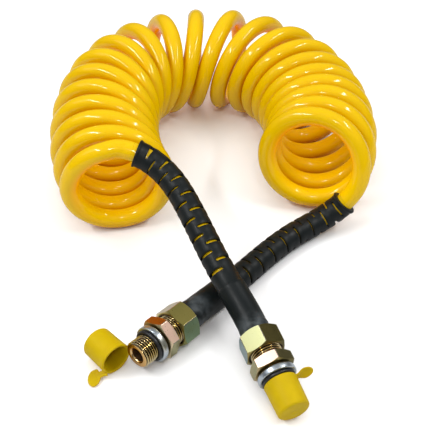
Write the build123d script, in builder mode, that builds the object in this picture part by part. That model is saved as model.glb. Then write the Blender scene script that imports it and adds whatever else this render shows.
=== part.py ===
from build123d import *
import math
import os

# Coiled hose with two end fittings, lying on the ground plane (base at Z0), in mm.
# The coil axis bows into a horseshoe open towards -Y and its turns are counted from the
# left (-X) end to the right (+X) end, with turn 0 in the middle. A lead leaves each end
# towards -Y: lead A starts at the left end, lead B at the right, and they cross, so
# fitting A lies to the right of fitting B. Fitting A wears its dust cap; the cap of B
# lies loose on its side. Angles ending in _ANGLE are in degrees, all others in radians.
UP = Vector(0, 0, 1)
SHIFT = Vector(-20.38, 132.94, 0.05)  # centres the bounding box over the origin

# ---------------------------------------------------------------- hose and coil
HOSE_OD = 12.0
HOSE_ID = 9.0
COIL_R = 31.6             # centreline radius of one turn
TURN_PITCH = 11.988       # spacing of neighbouring turns along the inner side of the bend
TURN_START = -9.96        # turn number where lead A leaves the coil
TURN_END = 10.33          # turn number where lead B leaves the coil
SPLIT_MAIN = -3.0         # turn number of the split between main coil and inner stretch
SPLIT_LEFT = -6.5         # turn number of the split between inner and outer stretch
SPLIT_EASE = 0.5          # extra room between the turns on either side of a split
SPLIT_EASE_WIDTH = 0.8    # how far that room spreads, in turns
SPLIT_GAP = 0.6           # free gap between two hose segments
SPLIT_GAP_TURNS = SPLIT_GAP / (2 * math.pi * COIL_R)

STEPS = 12                # centreline points per turn
END_STEP = 0.015          # turns from a segment end to its extra point
END_CLEAR = 0.04          # regular points keep this many turns away from an end
FINE = 48                 # samples of the coil axis per turn
TURN_LIMIT = 11           # the axis is sampled from -TURN_LIMIT to +TURN_LIMIT

# Each table: turn numbers, then the value there
AXIS_TURNING = (          # clockwise turning of the coil axis per turn
    [-10.5, -8.0, -6.0, -4.0, -2.5, -1.0, 0.0, 1.0, 2.5, 4.0, 6.0, 8.0, 10.5],
    [0.1123, 0.1009, 0.1099, 0.1511, 0.2456, 0.3256, 0.37, 0.3736, 0.3231, 0.2228,
     0.1348, 0.1452, 0.1443])
AXIS_HEADING = 0.2969     # heading of the axis at turn 0, from +X towards +Y
LIFT = (                  # height of the underside of the coil
    [-10.5, -7.0, -3.5, 0.0, 3.5, 7.0, 10.5],
    [0.0, 1.83, 4.39, 0.0, 0.0, 0.12, 4.18])
LEAN_TURNS = [-10.5, -8.0, -5.0, -2.5, 0.0, 2.5, 5.0, 8.0, 10.5]
LEAN_YAW = [-0.313, -0.2966, -0.2682, -0.2237, -0.2007, -0.1455, -0.0521, 0.0633, 0.1088]
LEAN_PITCH = [-0.048, 0.0597, 0.1483, 0.1882, 0.2052, 0.1579, 0.0999, -0.0263, -0.1285]

# ---------------------------------------------------------------- leads (before SHIFT)
# Centreline x, y, z from the coil to the straight behind the union nut
LEAD_A = [
    (-37.21, -152.15, 69.06), (-30.3, -152.74, 68.13), (-23.61, -154.08, 66.02),
    (-17.34, -156.27, 63.21), (-11.68, -159.39, 60.15), (-6.77, -163.48, 57.24),
    (-2.53, -168.38, 54.52), (1.19, -173.87, 51.93), (4.55, -179.71, 49.42),
    (7.69, -185.68, 46.94), (10.73, -191.65, 44.44), (13.72, -197.6, 41.93),
    (16.69, -203.51, 39.39), (19.71, -209.37, 36.81), (22.82, -215.17, 34.18),
    (26.07, -220.88, 31.49), (29.48, -226.52, 28.75), (32.95, -232.15, 26.08),
    (36.35, -237.91, 23.63), (39.53, -243.88, 21.56), (42.36, -250.17, 20.01)]
LEAD_B = [
    (103.8, -145.94, 20.94), (98.67, -147.23, 16.28), (93.03, -149.06, 12.68),
    (87.2, -151.64, 10.28), (81.39, -155.06, 9.03), (75.7, -159.14, 8.6),
    (70.22, -163.68, 8.52), (65.0, -168.48, 8.48), (60.05, -173.47, 8.4),
    (55.3, -178.61, 8.32), (50.71, -183.87, 8.28), (46.22, -189.2, 8.3),
    (41.8, -194.57, 8.42), (37.38, -199.95, 8.7), (32.93, -205.3, 9.15),
    (28.46, -210.64, 9.74), (23.96, -215.96, 10.4), (19.44, -221.26, 11.09),
    (14.9, -226.56, 11.76), (10.35, -231.84, 12.32)]
# Rear face centre of each union nut, and the fitting axis pointing away from the hose
FITTING_A_AT, FITTING_A_AXIS = (44.92, -256.57, 18.8), (0.3665, -0.9141, -0.1736)
FITTING_B_AT, FITTING_B_AXIS = (4.48, -238.64, 12.95), (-0.6519, -0.7551, 0.0698)
TUBE_STOP = 16.2          # end of the hose, from the nut's rear face
STRAIGHT_STATIONS = (-2.0, 4.0, 10.0, TUBE_STOP)  # lead points on the fitting axis
MAIN_LEAD_SPACING = 3.0   # spacing of points where the main coil runs into lead B
OUTER_LEAD_SPACING = 3.5  # the same for the outer stretch and lead A
LEAD_SPACING = 7.0        # the same for lead hoses and sleeves
MOUTH_SPLIT = 2.4         # distance of the hose split in front of the sleeve mouth

# ---------------------------------------------------------------- slotted bend sleeves
SLEEVE_OD = 16.0
SLEEVE_ID = 12.3
SLEEVE_LEN_A = 138.0
SLEEVE_LEN_B = 143.0
SLEEVE_END_OD = 17.0      # plain end next to the nut
SLEEVE_END_LEN = 33.0
SLEEVE_LIP_OD = 16.8      # bead at the mouth
SLEEVE_LIP_LEN = 1.8
COLLAR_ID = SLEEVE_ID + 0.8   # plain end and bead overlap the sleeve wall
SLEEVE_NUT_GAP = 0.3
SLOT_W = 1.2
SLOT_FIRST = 7.5          # from the mouth
SLOT_STEP = 6.0           # each station is turned 90 degrees from the last
SLOT_X = 3.1              # inner edge of a slot from the centreline

# ---------------------------------------------------------------- fittings
# Positions along a fitting are measured from the rear face of its nut
AF = 22.0                 # across flats of union nut and body hexagon
HEX_R = AF / math.sqrt(3)
HEX_FACE_R = AF / 2 - 0.1     # radius of the flat end of a chamfered hexagon
NUT_CHAMFER = (HEX_R - HEX_FACE_R) * math.tan(math.radians(30))
BODY_CHAMFER = NUT_CHAMFER * 0.8
NUT_LEN = 12.4
NUT_WALL = 3.6            # rear wall of the nut
NUT_BORE = 12.5
NUT_CAVITY = 18.1         # thread bore of the nut
NUT_A_ANGLE, HEX_A_ANGLE = 24.8, 35.6
NUT_B_ANGLE, HEX_B_ANGLE = 16.1, 38.7
NECK_R = 18.0 / 2         # M18 compression thread of the body
NECK_START = 6.6
NECK_CHAMFER = 0.8
HEX_0, HEX_1 = 17.0, 23.6
CORE_OVERLAP = 0.5        # turned core starts and ends its step inside the hexagon
CORE_R = NECK_R + 0.4
RELIEF_OD = 14.0          # thread relief behind the hexagon
RING_0, RING_1 = 24.9, 28.7
RING_R = 22.0 / 2
THREAD_R = 16.0 / 2       # M16x1.5 port thread
THREAD_0 = 31.0           # thread starts past the O-ring seat
THREAD_END = 39.6
THREAD_CHAMFER = 0.9
SEAT_R = 15.2 / 2         # plain seat under the backing ring and O-ring
SOCKET_D = 12.1
SOCKET_END = TUBE_STOP + 0.6
CONE_R = 8.0              # wide end of the cone leading into the socket
PORT_BORE = 8.5
OLIVE_0, OLIVE_MID, OLIVE_1 = 3.8, 6.6, 9.4
OLIVE_R = 15.8 / 2
OLIVE_BORE_R = HOSE_OD / 2 + 0.03
INSERT_OD, INSERT_ID, INSERT_FLANGE = 8.5, 7.6, 11.6
INSERT_LEN = 8.0
INSERT_GAP = 0.08
INSERT_END = TUBE_STOP + 0.5
RING_BORE_R = SEAT_R + 0.05
ORING_AT = 29.72
ORING_SECTION_R = 2.0 / 2
ORING_CLEARANCE = 0.03

# ---------------------------------------------------------------- dust caps
CAP_RIM = 31.05           # rim of cap A on its fitting
CAP_LEN = 18.6
CAP_OD, CAP_END_OD = 19.2, 18.2
CAP_BORE = 16.15
CAP_TOP = 1.3             # thickness of the closed end
TAB_T, TAB_NECK_W = 1.3, 2.8
TAB_PADDLE_W, TAB_PADDLE_L = 5.8, 7.4
TAB_REACH = 18.6          # from cap axis to tab tip
TAB_OVERLAP = 0.8         # how far the tab neck enters the cap wall
TAB_A_ANGLE, TAB_B_ANGLE = 180.0, 192.0
CAP_B_RIM = (-33.1, -266.1, 9.68)    # loose cap, before SHIFT
CAP_B_AXIS = (-0.680, 0.733, 0.0)    # from its rim to its closed end

# ---------------------------------------------------------------- profiles (axial, radial)


def hex_shell(start, end, chamfer):
    """Turned outline that chamfers both ends of a hexagon."""
    return [(start, 0), (start, HEX_FACE_R), (start + chamfer, HEX_R),
            (end - chamfer, HEX_R), (end, HEX_FACE_R), (end, 0)]


NUT_HOLLOW = [
    (-1, 0), (-1, NUT_BORE / 2), (NUT_WALL, NUT_BORE / 2), (NUT_WALL, NUT_CAVITY / 2),
    (NUT_LEN - 0.6, NUT_CAVITY / 2), (NUT_LEN + 0.4, NUT_CAVITY / 2 + 1.0), (NUT_LEN + 0.4, 0)]
BODY_CORE = [
    (NECK_START, 0), (NECK_START, NECK_R - NECK_CHAMFER), (NECK_START + NECK_CHAMFER, NECK_R),
    (HEX_0 + CORE_OVERLAP, NECK_R), (HEX_0 + CORE_OVERLAP, CORE_R),
    (HEX_1 - CORE_OVERLAP, CORE_R), (HEX_1 - CORE_OVERLAP, RELIEF_OD / 2),
    (RING_0, RELIEF_OD / 2), (RING_0, SEAT_R), (THREAD_0, SEAT_R), (THREAD_0, THREAD_R),
    (THREAD_END - THREAD_CHAMFER, THREAD_R), (THREAD_END, THREAD_R - THREAD_CHAMFER),
    (THREAD_END, 0)]
BODY_HOLLOW = [
    (NECK_START - 1, 0), (NECK_START - 1, CONE_R), (OLIVE_1 + 1.6, SOCKET_D / 2),
    (SOCKET_END, SOCKET_D / 2), (SOCKET_END, PORT_BORE / 2),
    (THREAD_END + 1, PORT_BORE / 2), (THREAD_END + 1, 0)]
OLIVE = [
    (OLIVE_0, OLIVE_BORE_R), (OLIVE_0, OLIVE_R - 1.0), (OLIVE_0 + 1.0, OLIVE_R),
    (OLIVE_MID - 0.8, OLIVE_R), (OLIVE_MID - 0.2, 7.1), (OLIVE_1, 6.3),
    (OLIVE_1, OLIVE_BORE_R)]
TUBE_INSERT = [
    (TUBE_STOP - INSERT_LEN, INSERT_ID / 2), (TUBE_STOP - INSERT_LEN, INSERT_OD / 2),
    (TUBE_STOP + INSERT_GAP, INSERT_OD / 2), (TUBE_STOP + INSERT_GAP, INSERT_FLANGE / 2),
    (INSERT_END, INSERT_FLANGE / 2), (INSERT_END, INSERT_ID / 2)]
BACKING_RING = [
    (RING_0, RING_BORE_R), (RING_0, RING_R - 1.2), (RING_0 + 0.9, RING_R - 0.3),
    (RING_0 + 1.6, RING_R), (RING_1 - 0.4, RING_R), (RING_1, RING_R - 0.4),
    (RING_1, RING_BORE_R)]
CAP_WALL = [  # axial position from the rim
    (0, CAP_BORE / 2), (0, CAP_OD / 2), (CAP_LEN - 1.6, CAP_END_OD / 2 + 0.06),
    (CAP_LEN - 0.55, CAP_END_OD / 2 - 0.45), (CAP_LEN, CAP_END_OD / 2 - 1.6), (CAP_LEN, 0),
    (CAP_LEN - CAP_TOP, 0), (CAP_LEN - CAP_TOP, CAP_BORE / 2)]


# ---------------------------------------------------------------- coil centreline
def natural_cubic(knots, values):
    """Function of the natural cubic spline through the knots, held level outside them."""
    count = len(knots)
    gaps = [knots[i + 1] - knots[i] for i in range(count - 1)]
    slopes = [(values[i + 1] - values[i]) / gaps[i] for i in range(count - 1)]
    # Tridiagonal system for the second derivatives, which are zero at both ends
    diagonal = [1.0] * count
    right = [0.0] * count
    for i in range(1, count - 1):
        diagonal[i] = 2 * (gaps[i - 1] + gaps[i])
        right[i] = 6 * (slopes[i] - slopes[i - 1])
    for i in range(2, count - 1):
        factor = gaps[i - 1] / diagonal[i - 1]
        diagonal[i] -= factor * gaps[i - 1]
        right[i] -= factor * right[i - 1]
    bends = [0.0] * count
    for i in range(count - 2, 0, -1):
        bends[i] = (right[i] - gaps[i] * bends[i + 1]) / diagonal[i]

    def value_at(x):
        x = min(max(x, knots[0]), knots[-1])
        i = 0
        while i < count - 2 and x > knots[i + 1]:
            i += 1
        gap = gaps[i]
        after, before = knots[i + 1] - x, x - knots[i]
        return ((bends[i] * after ** 3 + bends[i + 1] * before ** 3) / (6 * gap)
                + (values[i] / gap - bends[i] * gap / 6) * after
                + (values[i + 1] / gap - bends[i + 1] * gap / 6) * before)
    return value_at


def integral_from_middle(samples):
    """Running trapezoid integral over the turn number, zero at turn 0."""
    totals = [0.0]
    for i in range(1, len(samples)):
        totals.append(totals[-1] + (samples[i] + samples[i - 1]) / 2 / FINE)
    middle = totals[TURN_LIMIT * FINE]
    return [total - middle for total in totals]


def rotated(vector, axis, angle):
    """Vector rotated about a unit axis by an angle in radians."""
    return (vector * math.cos(angle) + axis.cross(vector) * math.sin(angle)
            + axis * (axis.dot(vector) * (1 - math.cos(angle))))


def place(point):
    """Table point moved into the final frame."""
    return Vector(*point) + SHIFT


def split_ease(turn):
    """Extra spacing of the turns close to the two splits."""
    return SPLIT_EASE * sum(math.exp(-((turn - split_turn) / SPLIT_EASE_WIDTH) ** 2)
                            for split_turn in (SPLIT_MAIN, SPLIT_LEFT))


def coil_axis():
    """Points of the coil axis, FINE per turn."""
    turning, lift = natural_cubic(*AXIS_TURNING), natural_cubic(*LIFT)
    rates = [turning(turn) for turn in TURNS]
    headings = [AXIS_HEADING - total for total in integral_from_middle(rates)]
    steps = [TURN_PITCH + split_ease(turn) + COIL_R * rate for turn, rate in zip(TURNS, rates)]
    xs = integral_from_middle([math.cos(h) * step for h, step in zip(headings, steps)])
    ys = integral_from_middle([math.sin(h) * step for h, step in zip(headings, steps)])
    return [place((x, y, lift(turn) + COIL_R + HOSE_OD / 2))
            for x, y, turn in zip(xs, ys, TURNS)]


TURNS = [-TURN_LIMIT + i / FINE for i in range(2 * TURN_LIMIT * FINE + 1)]
AXIS_POINTS = coil_axis()
yaw_at = natural_cubic(LEAN_TURNS, LEAN_YAW)
pitch_at = natural_cubic(LEAN_TURNS, LEAN_PITCH)


def coil_sample(i):
    """Hose centreline point at sample i of the coil axis."""
    along = (AXIS_POINTS[i + 1] - AXIS_POINTS[i - 1]).normalized()
    side = UP.cross(along).normalized()
    top = along.cross(side)
    side = rotated(side, top, yaw_at(TURNS[i]))
    top = rotated(top, side, pitch_at(TURNS[i]))
    angle = 2 * math.pi * TURNS[i]
    return AXIS_POINTS[i] + (top * math.cos(angle) + side * math.sin(angle)) * COIL_R


def coil_at(turn):
    """Hose centreline point at any turn number, linear between samples."""
    x = (turn + TURN_LIMIT) * FINE
    i = math.floor(x + 1e-9)
    weight = x - i
    if weight < 1e-6:
        return coil_sample(i)
    return coil_sample(i) * (1 - weight) + coil_sample(i + 1) * weight


def coil_points(first, last):
    """Centreline points between two turn numbers, with an extra one close to each end."""
    regular = [j / STEPS for j in range(math.ceil(first * STEPS), math.floor(last * STEPS) + 1)
               if first + END_CLEAR < j / STEPS < last - END_CLEAR]
    turns = [first, first + END_STEP] + regular + [last - END_STEP, last]
    return [coil_at(turn) for turn in turns]


# ---------------------------------------------------------------- leads and planes
class Lead:
    """Lead centreline and fitting axis; distances run from the coil along the lead."""

    def __init__(self, coil_turn, stations, fitting_at, fitting_axis, sleeve_len):
        self.origin = place(fitting_at)
        self.axis = Vector(*fitting_axis).normalized()
        straight = [self.origin + self.axis * t for t in STRAIGHT_STATIONS]
        self.line = Edge.make_spline(
            [coil_at(coil_turn)] + [place(p) for p in stations] + straight)
        self.length = self.line.length
        self.mouth = self.length - TUBE_STOP - sleeve_len
        self.sleeve_end = self.length - TUBE_STOP - SLEEVE_NUT_GAP
        self.split = self.mouth - MOUTH_SPLIT
        slotted_len = sleeve_len - SLEEVE_END_LEN - SLOT_FIRST
        self.slot_count = int(slotted_len / SLOT_STEP) + 1

    def fraction(self, distance):
        return min(max(distance / self.length, 0.0), 1.0)

    def plane(self, distance):
        """Plane across the lead."""
        at = self.fraction(distance)
        return cross_plane(self.line.position_at(at), self.line.tangent_at(at))

    def points(self, start, end, spacing):
        """Evenly spaced centreline points, about the given spacing apart."""
        count = max(2, int(round((end - start) / spacing)))
        return [self.line.position_at(self.fraction(start + (end - start) * i / count))
                for i in range(count + 1)]


def cross_plane(point, normal, angle=0.0):
    """Plane across a direction; its x is turned from level towards up by the angle."""
    level = normal.cross(UP).normalized()
    x_dir = rotated(level, normal, -math.radians(angle))
    return Plane(origin=point, x_dir=x_dir, z_dir=normal)


def axial_plane(origin, axis):
    """Plane holding an axis: x runs along the axis, y is radial."""
    return Plane(origin=origin, x_dir=axis, z_dir=axis.cross(axis.cross(UP).normalized()))


# ---------------------------------------------------------------- pieces
def hose(points, is_frenet=False):
    """Hose segment swept along a spline through the points."""
    with BuildPart() as segment:
        with BuildLine() as path:
            Spline(points)
        with BuildSketch(cross_plane(points[0], path.edge().tangent_at(0))):
            Circle(HOSE_OD / 2)
            Circle(HOSE_ID / 2, mode=Mode.SUBTRACT)
        sweep(path=path.edge(), is_frenet=is_frenet)
    return segment.part


def bend_sleeve(lead):
    """Sleeve with a plain end at the nut, a bead at the mouth and pairs of slots."""
    plain_start = lead.sleeve_end - SLEEVE_END_LEN
    with BuildPart() as sleeve:
        for start, outer, bore in ((lead.mouth, SLEEVE_OD, SLEEVE_ID),
                                   (plain_start, SLEEVE_END_OD, COLLAR_ID)):
            with BuildLine() as path:
                Spline(lead.points(start, lead.sleeve_end, LEAD_SPACING))
            with BuildSketch(lead.plane(start)):
                Circle(outer / 2)
                Circle(bore / 2, mode=Mode.SUBTRACT)
            sweep(path=path.edge())
        with BuildSketch(lead.plane(lead.mouth)):
            Circle(SLEEVE_LIP_OD / 2)
            Circle(COLLAR_ID / 2, mode=Mode.SUBTRACT)
        extrude(amount=SLEEVE_LIP_LEN)
        for i in range(lead.slot_count):
            with BuildSketch(lead.plane(lead.mouth + SLOT_FIRST + i * SLOT_STEP)):
                with PolarLocations((SLOT_X + SLEEVE_OD) / 2, 2,
                                    start_angle=90.0 + 90.0 * (i % 2)):
                    Rectangle(SLEEVE_OD - SLOT_X, SLEEVE_OD * 1.3)
            extrude(amount=SLOT_W / 2, both=True, mode=Mode.SUBTRACT)
    return sleeve.part


def hex_piece(lead, start, end, angle, profiles):
    """Hexagon prism on the fitting axis, worked over with (profile, mode) revolves."""
    with BuildPart() as piece:
        with BuildSketch(cross_plane(lead.origin + lead.axis * start, lead.axis, angle)):
            RegularPolygon(HEX_R, 6)
        extrude(amount=end - start)
        for profile, mode in profiles:
            with BuildSketch(axial_plane(lead.origin, lead.axis)):
                Polygon(*profile, align=None)
            revolve(axis=Axis(lead.origin, lead.axis), mode=mode)
    return piece.part


def union_nut(lead, angle):
    return hex_piece(lead, 0.0, NUT_LEN, angle, [
        (hex_shell(0, NUT_LEN, NUT_CHAMFER), Mode.INTERSECT),
        (NUT_HOLLOW, Mode.SUBTRACT)])


def fitting_body(lead, angle):
    return hex_piece(lead, HEX_0, HEX_1, angle, [
        (hex_shell(HEX_0, HEX_1, BODY_CHAMFER), Mode.INTERSECT),
        (BODY_CORE, Mode.ADD),
        (BODY_HOLLOW, Mode.SUBTRACT)])


def turned_piece(lead, profile):
    """Plain revolved piece on the fitting axis."""
    with BuildPart() as piece:
        with BuildSketch(axial_plane(lead.origin, lead.axis)):
            Polygon(*profile, align=None)
        revolve(axis=Axis(lead.origin, lead.axis))
    return piece.part


def o_ring(lead):
    with BuildPart() as ring:
        with BuildSketch(axial_plane(lead.origin, lead.axis)):
            with Locations((ORING_AT, SEAT_R + ORING_CLEARANCE + ORING_SECTION_R)):
                Circle(ORING_SECTION_R)
        revolve(axis=Axis(lead.origin, lead.axis))
    return ring.part


def dust_cap(rim, axis, tab_angle):
    """Cap with a pull tab at its rim; the axis points from rim to closed end."""
    neck_start = CAP_OD / 2 - TAB_OVERLAP
    paddle_at = TAB_REACH - TAB_PADDLE_L / 2
    with BuildPart() as cap:
        with BuildSketch(axial_plane(rim, axis)):
            Polygon(*CAP_WALL, align=None)
        revolve(axis=Axis(rim, axis))
        with BuildSketch(cross_plane(rim, axis, tab_angle)):
            with Locations(((neck_start + paddle_at) / 2, 0)):
                Rectangle(paddle_at - neck_start, TAB_NECK_W)
            with Locations((paddle_at, 0)):
                Ellipse(TAB_PADDLE_L / 2, TAB_PADDLE_W / 2)
            # Keeps the tab out of the bore
            Circle(CAP_BORE / 2 + 0.5, mode=Mode.SUBTRACT)
        extrude(amount=TAB_T)
    return cap.part


# ---------------------------------------------------------------- assembly
lead_a = Lead(TURN_START, LEAD_A, FITTING_A_AT, FITTING_A_AXIS, SLEEVE_LEN_A)
lead_b = Lead(TURN_END, LEAD_B, FITTING_B_AT, FITTING_B_AXIS, SLEEVE_LEN_B)

# The lead's first point is the coil's last, so it is left out where they join
main_points = (coil_points(SPLIT_MAIN, TURN_END)
               + lead_b.points(0.0, lead_b.split - SPLIT_GAP, MAIN_LEAD_SPACING)[1:])
inner_points = coil_points(SPLIT_LEFT + SPLIT_GAP_TURNS, SPLIT_MAIN - SPLIT_GAP_TURNS)
outer_points = (lead_a.points(0.0, lead_a.split - SPLIT_GAP, OUTER_LEAD_SPACING)[:0:-1]
                + coil_points(TURN_START, SPLIT_LEFT - SPLIT_GAP_TURNS))

pieces = {
    "coil_main": hose(main_points, is_frenet=True),
    "coil_left_inner": hose(inner_points, is_frenet=True),
    "coil_left_outer": hose(outer_points, is_frenet=True),
}
for end, lead, nut_angle, hex_angle in (("a", lead_a, NUT_A_ANGLE, HEX_A_ANGLE),
                                        ("b", lead_b, NUT_B_ANGLE, HEX_B_ANGLE)):
    pieces[f"hose_lead_{end}"] = hose(lead.points(lead.split, lead.length, LEAD_SPACING))
    pieces[f"bend_sleeve_{end}"] = bend_sleeve(lead)
    pieces[f"union_nut_{end}"] = union_nut(lead, nut_angle)
    pieces[f"fitting_body_{end}"] = fitting_body(lead, hex_angle)
    pieces[f"cutting_ring_{end}"] = turned_piece(lead, OLIVE)
    pieces[f"tube_insert_{end}"] = turned_piece(lead, TUBE_INSERT)
    pieces[f"backing_ring_{end}"] = turned_piece(lead, BACKING_RING)
    pieces[f"o_ring_{end}"] = o_ring(lead)

pieces["dust_cap_a"] = dust_cap(lead_a.origin + lead_a.axis * CAP_RIM, lead_a.axis, TAB_A_ANGLE)
pieces["dust_cap_b"] = dust_cap(place(CAP_B_RIM), Vector(*CAP_B_AXIS).normalized(), TAB_B_ANGLE)

os.makedirs("parts", exist_ok=True)
for name, piece in pieces.items():
    piece.label = name
    export_step(piece, f"parts/{name}.step")
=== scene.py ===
import math
import bpy
import bmesh
import numpy as np
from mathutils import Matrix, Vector


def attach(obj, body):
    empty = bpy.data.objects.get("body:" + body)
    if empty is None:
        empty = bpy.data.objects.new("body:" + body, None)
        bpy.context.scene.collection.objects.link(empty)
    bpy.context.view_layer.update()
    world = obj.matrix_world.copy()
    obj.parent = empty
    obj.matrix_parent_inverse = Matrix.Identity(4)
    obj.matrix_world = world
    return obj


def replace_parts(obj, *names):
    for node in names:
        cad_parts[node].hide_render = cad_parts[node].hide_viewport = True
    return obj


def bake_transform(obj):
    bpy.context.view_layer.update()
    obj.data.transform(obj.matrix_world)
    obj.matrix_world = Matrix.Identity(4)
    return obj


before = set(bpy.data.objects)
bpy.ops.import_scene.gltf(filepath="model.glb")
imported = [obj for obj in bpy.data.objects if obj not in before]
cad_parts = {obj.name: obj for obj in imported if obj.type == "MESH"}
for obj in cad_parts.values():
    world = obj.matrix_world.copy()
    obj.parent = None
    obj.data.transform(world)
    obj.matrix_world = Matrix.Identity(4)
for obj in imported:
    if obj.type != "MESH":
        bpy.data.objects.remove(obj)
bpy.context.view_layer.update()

# All lengths below are millimetres in the row frame; put() writes metres.
# ------------------------------------------------------------------ centrelines of the coil and the two leads
HOSE_R, BORE_R, COIL_R, TURN_PITCH = 6.0, 4.5, 31.6, 11.988
K_START, K_END, K_CUT_1, K_CUT_2, CUT_EASE = -9.96, 10.33, -3.0, -6.5, 0.5
TURNING = ([-10.5, -8.0, -6.0, -4.0, -2.5, -1.0, 0.0, 1.0, 2.5, 4.0, 6.0, 8.0, 10.5],
           [0.1123, 0.1009, 0.1099, 0.1511, 0.2456, 0.3256, 0.37, 0.3736, 0.3231, 0.2228, 0.1348, 0.1452, 0.1443])
HEADING_0 = -0.2969
LIFT = ([-10.5, -7.0, -3.5, 0.0, 3.5, 7.0, 10.5], [0.0, 1.83, 4.39, 0.0, 0.0, 0.12, 4.18])
LEAN_K = [-10.5, -8.0, -5.0, -2.5, 0.0, 2.5, 5.0, 8.0, 10.5]
LEAN_YAW = [-0.313, -0.2966, -0.2682, -0.2237, -0.2007, -0.1455, -0.0521, 0.0633, 0.1088]
LEAN_PITCH = [-0.048, 0.0597, 0.1483, 0.1882, 0.2052, 0.1579, 0.0999, -0.0263, -0.1285]
LEAD_A = [(-37.21, -152.15, 69.06), (-30.3, -152.74, 68.13), (-23.61, -154.08, 66.02), (-17.34, -156.27, 63.21),
          (-11.68, -159.39, 60.15), (-6.77, -163.48, 57.24), (-2.53, -168.38, 54.52), (1.19, -173.87, 51.93),
          (4.55, -179.71, 49.42), (7.69, -185.68, 46.94), (10.73, -191.65, 44.44), (13.72, -197.6, 41.93),
          (16.69, -203.51, 39.39), (19.71, -209.37, 36.81), (22.82, -215.17, 34.18), (26.07, -220.88, 31.49),
          (29.48, -226.52, 28.75), (32.95, -232.15, 26.08), (36.35, -237.91, 23.63), (39.53, -243.88, 21.56),
          (42.36, -250.17, 20.01)]
LEAD_B = [(103.8, -145.94, 20.94), (98.67, -147.23, 16.28), (93.03, -149.06, 12.68), (87.2, -151.64, 10.28),
          (81.39, -155.06, 9.03), (75.7, -159.14, 8.6), (70.22, -163.68, 8.52), (65.0, -168.48, 8.48),
          (60.05, -173.47, 8.4), (55.3, -178.61, 8.32), (50.71, -183.87, 8.28), (46.22, -189.2, 8.3),
          (41.8, -194.57, 8.42), (37.38, -199.95, 8.7), (32.93, -205.3, 9.15), (28.46, -210.64, 9.74),
          (23.96, -215.96, 10.4), (19.44, -221.26, 11.09), (14.9, -226.56, 11.76), (10.35, -231.84, 12.32)]
FIT_A, DIR_A = (44.92, -256.57, 18.8), (0.3665, -0.9141, -0.1736)
FIT_B, DIR_B = (4.48, -238.64, 12.95), (-0.6519, -0.7551, 0.0698)
SHIFT = np.array((-20.38, 132.94, 0.05))
TUBE_STOP = 16.2
SLEEVE_LEN_A, SLEEVE_LEN_B, MOUTH_CUT = 138.0, 143.0, 2.4
UP = np.array((0.0, 0.0, 1.0))


def unit(v):
    v = np.asarray(v, float)
    return v / np.linalg.norm(v, axis=-1, keepdims=True)


def natural(xs, ys):
    """Natural cubic through the knots (ys may be rows of points); returns a function of an array."""
    xs, ys = np.asarray(xs, float), np.asarray(ys, float)
    n, h = len(xs), np.diff(xs)
    b, c, d = np.ones(n), np.zeros(n), np.zeros_like(ys)
    a = np.zeros(n)
    a[1:-1], b[1:-1], c[1:-1] = h[:-1], 2 * (h[:-1] + h[1:]), h[1:]
    slope = (ys[1:] - ys[:-1]) / (h if ys.ndim == 1 else h[:, None])
    d[1:-1] = 6 * (slope[1:] - slope[:-1])
    for i in range(1, n):
        w = a[i] / b[i - 1]
        b[i] -= w * c[i - 1]
        d[i] -= w * d[i - 1]
    m = np.zeros_like(ys)
    m[-1] = d[-1] / b[-1]
    for i in range(n - 2, -1, -1):
        m[i] = (d[i] - c[i] * m[i + 1]) / b[i]

    def f(x):
        x = np.clip(np.asarray(x, float), xs[0], xs[-1])
        i = np.clip(np.searchsorted(xs, x, side="left") - 1, 0, n - 2)
        t, u, hh = xs[i + 1] - x, x - xs[i], h[i]
        if ys.ndim > 1:
            t, u, hh = t[..., None], u[..., None], hh[..., None]
        return (m[i] * t ** 3 + m[i + 1] * u ** 3) / (6 * hh) + (ys[i] / hh - m[i] * hh / 6) * t + (ys[i + 1] / hh - m[i + 1] * hh / 6) * u
    return f


def rodrigues(v, axis, ang):
    ang = ang[:, None]
    return v * np.cos(ang) + np.cross(axis, v) * np.sin(ang) + axis * (np.sum(axis * v, 1, keepdims=True) * (1 - np.cos(ang)))


FINE = 48
grid = -11 + np.arange(22 * FINE + 1) / FINE
mid = 11 * FINE
rate = natural(*TURNING)(grid)
head = np.concatenate([[0], -np.cumsum((rate[1:] + rate[:-1]) / 2 / FINE)])
head = head - head[mid] - HEADING_0
ease = CUT_EASE * (np.exp(-((grid - K_CUT_1) / 0.8) ** 2) + np.exp(-((grid - K_CUT_2) / 0.8) ** 2))
run = TURN_PITCH + ease + COIL_R * rate
ax = np.concatenate([[0], np.cumsum((np.cos(head[1:]) * run[1:] + np.cos(head[:-1]) * run[:-1]) / 2 / FINE)])
ay = np.concatenate([[0], np.cumsum((np.sin(head[1:]) * run[1:] + np.sin(head[:-1]) * run[:-1]) / 2 / FINE)])
axis_pts = np.stack([ax - ax[mid], ay - ay[mid], natural(*LIFT)(grid) + COIL_R + HOSE_R], 1)
at = np.empty_like(axis_pts)
at[1:-1] = axis_pts[2:] - axis_pts[:-2]
at[0], at[-1] = axis_pts[1] - axis_pts[0], axis_pts[-1] - axis_pts[-2]
at = unit(at)
an = unit(np.cross(UP, at))
ab = np.cross(at, an)
nr = rodrigues(an, ab, natural(LEAN_K, LEAN_YAW)(grid))
br = rodrigues(ab, nr, natural(LEAN_K, LEAN_PITCH)(grid))
th = (2 * np.pi * grid)[:, None]
coil_pts = axis_pts + (br * np.cos(th) + nr * np.sin(th)) * COIL_R
coil_at = natural(grid, coil_pts)


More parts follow.
